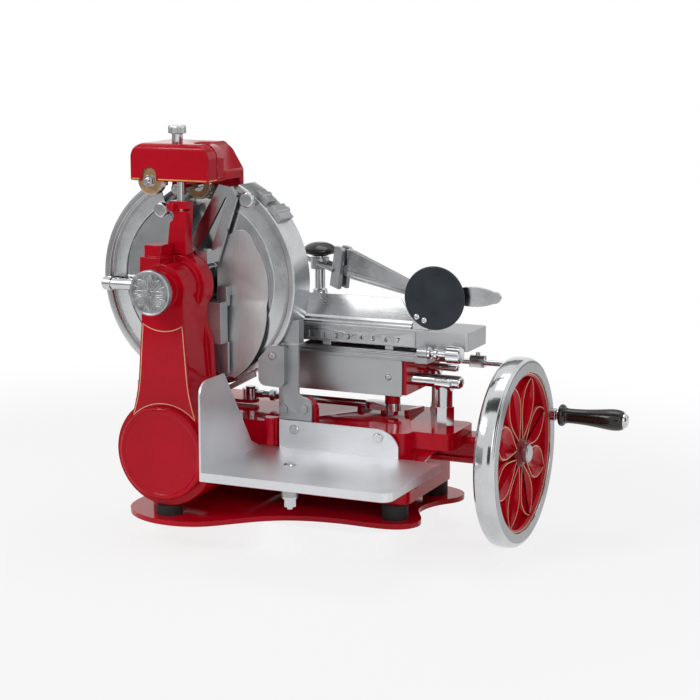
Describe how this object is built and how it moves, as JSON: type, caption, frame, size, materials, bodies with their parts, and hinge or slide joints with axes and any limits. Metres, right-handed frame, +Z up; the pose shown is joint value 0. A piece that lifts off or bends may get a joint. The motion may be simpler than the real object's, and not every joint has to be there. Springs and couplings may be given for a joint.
{
  "type": "hand crank meat slicer",
  "caption": "Hand-cranked slicer: round guarded blade on a red gear column, sliding meat carriage, large crank flywheel, slice plate and sharpener on a tray.",
  "frame": {"origin": "underside of the base tray, straight below the centre of the blade", "axes": "+X along the flywheel shaft towards the crank grip, +Y away from the side where slices fall, +Z up"},
  "size_m": [0.7873, 0.4531, 0.633],
  "materials": {
    "red_enamel": "gloss enamel with cream pin-stripes",
    "black_rubber": "dull",
    "bright_steel": "polished",
    "shaft_steel": "turned",
    "bronze": "plain",
    "polished_aluminium": "polished",
    "satin_aluminium": "satin",
    "gray_aluminium": "brushed gray",
    "pewter": "cast relief",
    "grinding_stone": null,
    "black_grip": "gloss black",
    "dark_disc": "blue-black, semi-gloss"
  },
  "bodies": {
    "frame": {"base_tray": "red_enamel", "rubber_feet": "black_rubber", "bed_casting": "red_enamel", "bearing_arm": "red_enamel", "shaft_bushes": "bronze", "gear_column": "red_enamel", "drum_cover": "red_enamel", "sharpener_post": "red_enamel", "lift_rod": "bright_steel", "blade_bearing": "polished_aluminium", "blade_guard": "polished_aluminium", "blade_cover": "polished_aluminium", "guard_arm": "bright_steel", "guard_latch": "polished_aluminium", "ring_stays": "polished_aluminium", "slice_deflector": "bright_steel", "deflector_bracket": "gray_aluminium", "guard_strut": "gray_aluminium", "strut_lock": "gray_aluminium", "receiving_plate": "satin_aluminium", "plate_fasteners": "bright_steel", "plate_arm": "gray_aluminium", "drive_chain": "shaft_steel", "bar_bracket": "gray_aluminium", "slide_bars": "bright_steel", "bar_columns": "bright_steel"},
    "flywheel": {"main_shaft": "shaft_steel", "flywheel_rim": "bright_steel", "flywheel_centre": "red_enamel", "grip_spindle": "bright_steel"},
    "grip": {"crank_grip": "black_grip"},
    "cross_drive": {"cross_shaft": "shaft_steel"},
    "blade": {"cutting_blade": "bright_steel", "blade_hub": "bright_steel", "blade_shaft": "shaft_steel"},
    "crank": {"crank_gear": "shaft_steel", "crank_arm": "red_enamel"},
    "carriage": {"carriage_casting": "red_enamel", "carriage_cover": "gray_aluminium", "carriage_top": "gray_aluminium", "rod_pin": "bright_steel", "feed_shaft": "bright_steel"},
    "rod": {"connecting_rod": "bright_steel"},
    "table": {"meat_table": "gray_aluminium", "scale_strip": "polished_aluminium", "fence": "polished_aluminium", "shield_disc": "dark_disc", "shield_mount": "bright_steel", "press_post": "polished_aluminium"},
    "feed_dial": {"feed_knob": "bright_steel"},
    "press_swing": {"press_bracket": "gray_aluminium"},
    "press_lever": {"press_arm": "polished_aluminium"},
    "press_cap": {"press_knob": "black_grip"},
    "rosette": {"rosette_knob": "pewter"},
    "cover_button": {"cover_knob": "polished_aluminium"},
    "guard_button": {"guard_knob": "polished_aluminium"},
    "sharpener": {"sharpener_hood": "red_enamel"},
    "stone_front": {"front_stone": "grinding_stone"},
    "stone_rear": {"rear_stone": "grinding_stone"},
    "top_screw": {"lift_screw": "bright_steel"}
  },
  "joints": [
    {"name": "flywheel_turn", "type": "hinge", "parent": "frame", "child": "flywheel", "pos_m": [0.482, 0.11, 0.105], "axis": [1, 0, 0], "continuous": true},
    {"name": "grip_spin", "type": "hinge", "parent": "flywheel", "child": "grip", "pos_m": [0.56, 0.23081, 0.14079], "axis": [1, 0, 0], "continuous": true},
    {"name": "cross_turn", "type": "hinge", "parent": "frame", "child": "cross_drive", "pos_m": [0, 0, 0.105], "axis": [0, 1, 0], "continuous": true},
    {"name": "blade_spin", "type": "hinge", "parent": "frame", "child": "blade", "pos_m": [0, 0, 0.353], "axis": [0, 1, 0], "continuous": true},
    {"name": "crank_turn", "type": "hinge", "parent": "frame", "child": "crank", "pos_m": [-0.062, 0.11, 0.15], "axis": [0, 0, 1], "continuous": true},
    {"name": "carriage_slide", "type": "slide", "parent": "frame", "child": "carriage", "axis": [1, 0, 0], "range_m": [-0.19, 0]},
    {"name": "rod_swing", "type": "hinge", "parent": "carriage", "child": "rod", "pos_m": [0.28, 0.11, 0.158], "axis": [0, 0, 1], "range_deg": [-22, 22]},
    {"name": "table_feed", "type": "slide", "parent": "carriage", "child": "table", "axis": [0, 1, 0], "range_m": [0, 0.09]},
    {"name": "feed_dial_turn", "type": "hinge", "parent": "carriage", "child": "feed_dial", "pos_m": [0.39, 0.045, 0.2595], "axis": [1, 0, 0], "continuous": true},
    {"name": "press_swing_turn", "type": "hinge", "parent": "table", "child": "press_swing", "pos_m": [0.107, 0.215, 0.36], "axis": [0, 0, 1], "range_deg": [0, 20]},
    {"name": "press_lever_tilt", "type": "hinge", "parent": "press_swing", "child": "press_lever", "pos_m": [0.15998, 0.18683, 0.352], "axis": [0.4695, 0.8829, 0], "range_deg": [-15, 0]},
    {"name": "press_cap_turn", "type": "hinge", "parent": "table", "child": "press_cap", "pos_m": [0.107, 0.215, 0.38], "axis": [0, 0, 1], "continuous": true},
    {"name": "rosette_turn", "type": "hinge", "parent": "frame", "child": "rosette", "pos_m": [0, -0.14, 0.353], "axis": [0, 1, 0], "continuous": true},
    {"name": "cover_button_turn", "type": "hinge", "parent": "frame", "child": "cover_button", "pos_m": [-0.05634, 0, 0.45986], "axis": [0, 1, 0], "continuous": true},
    {"name": "guard_button_turn", "type": "hinge", "parent": "frame", "child": "guard_button", "pos_m": [0.09404, -0.01, 0.48196], "axis": [0, 1, 0], "continuous": true},
    {"name": "sharpener_lift", "type": "slide", "parent": "frame", "child": "sharpener", "axis": [0, 0, 1], "range_m": [0, 0.022]},
    {"name": "stone_front_spin", "type": "hinge", "parent": "sharpener", "child": "stone_front", "pos_m": [-0.042, -0.05, 0.51], "axis": [0, 1, 0], "continuous": true},
    {"name": "stone_rear_spin", "type": "hinge", "parent": "sharpener", "child": "stone_rear", "pos_m": [-0.012, 0, 0.496], "axis": [0, 1, 0], "continuous": true},
    {"name": "top_screw_turn", "type": "hinge", "parent": "sharpener", "child": "top_screw", "pos_m": [-0.006, -0.045, 0.575], "axis": [0, 0, 1], "continuous": true}
  ],
  "couplings": [
    {"joint": "cross_turn", "follows": "flywheel_turn", "ratio": 1},
    {"joint": "blade_spin", "follows": "flywheel_turn", "ratio": 1.8333},
    {"joint": "crank_turn", "follows": "flywheel_turn", "ratio": -0.66667}
  ]
}
